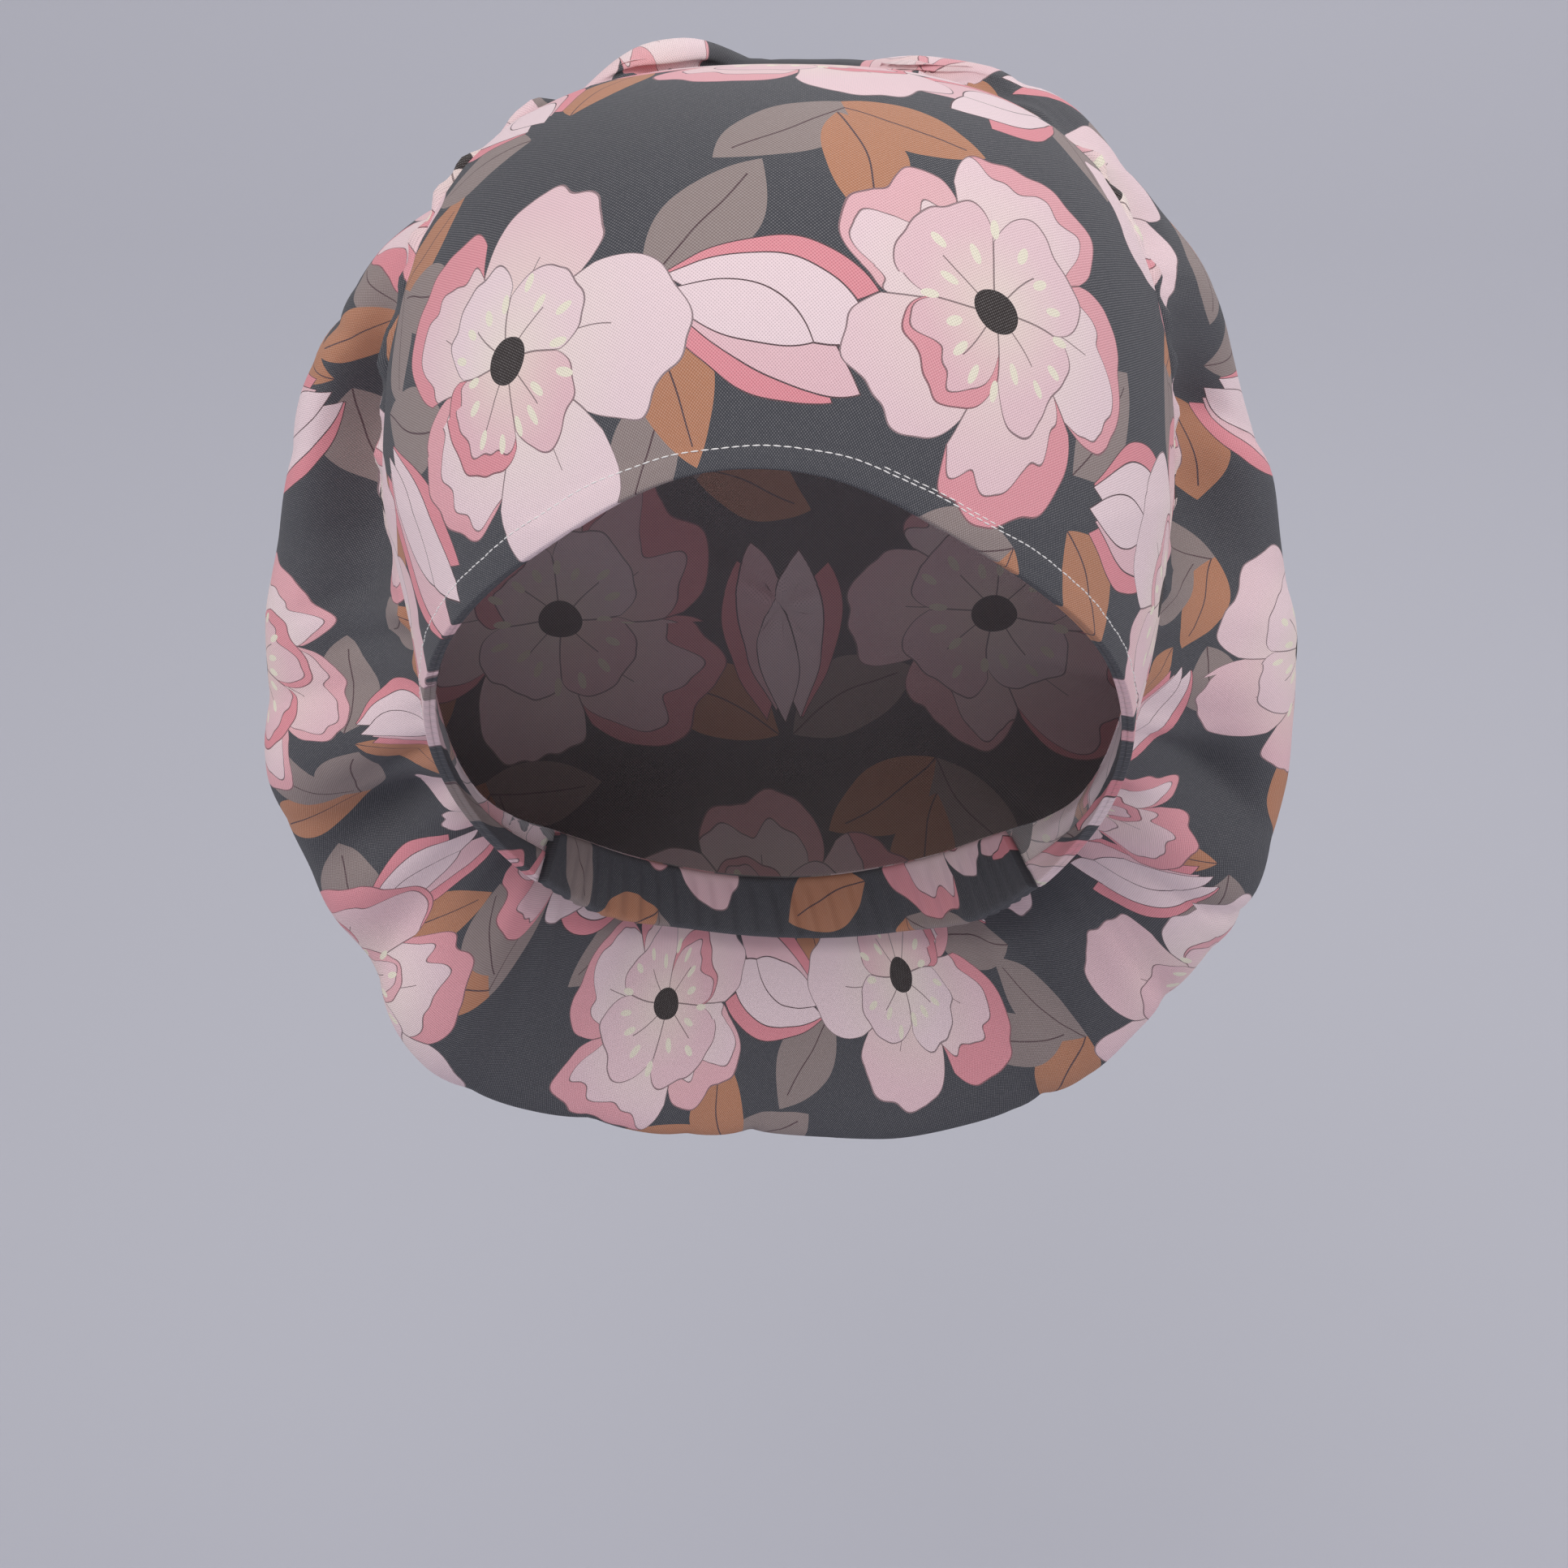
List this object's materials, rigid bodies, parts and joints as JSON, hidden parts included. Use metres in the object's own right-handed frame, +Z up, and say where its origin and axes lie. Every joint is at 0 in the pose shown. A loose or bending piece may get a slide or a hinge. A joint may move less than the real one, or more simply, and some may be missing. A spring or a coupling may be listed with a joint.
{
  "type": "scrub cap",
  "caption": "Full-backed cloth scrub cap with a fitted front panel, an arched stitched brow hem, a gathered back and an elastic nape casing, in its worn shape.",
  "frame": {"origin": "top of the head that the cap is worn on, on the head's middle plane", "axes": "+Z up, -Y the way the wearer looks, +X the wearer's left"},
  "size_m": [0.2289, 0.2289, 0.2546],
  "materials": {
    "printed_cotton": "plain-woven cotton, printed with pale pink flowers on charcoal grey; its reverse is paler, with the print showing through",
    "casing_cotton": "the same printed cotton, gathered over elastic"
  },
  "bodies": {
    "root": {"front_panel": "printed_cotton", "pouch_crown": "printed_cotton", "pouch_left": "printed_cotton", "pouch_right": "printed_cotton", "pouch_foot": "printed_cotton", "pouch_back": "printed_cotton", "brow_hem": "printed_cotton", "nape_casing": "casing_cotton"}
  },
  "joints": []
}
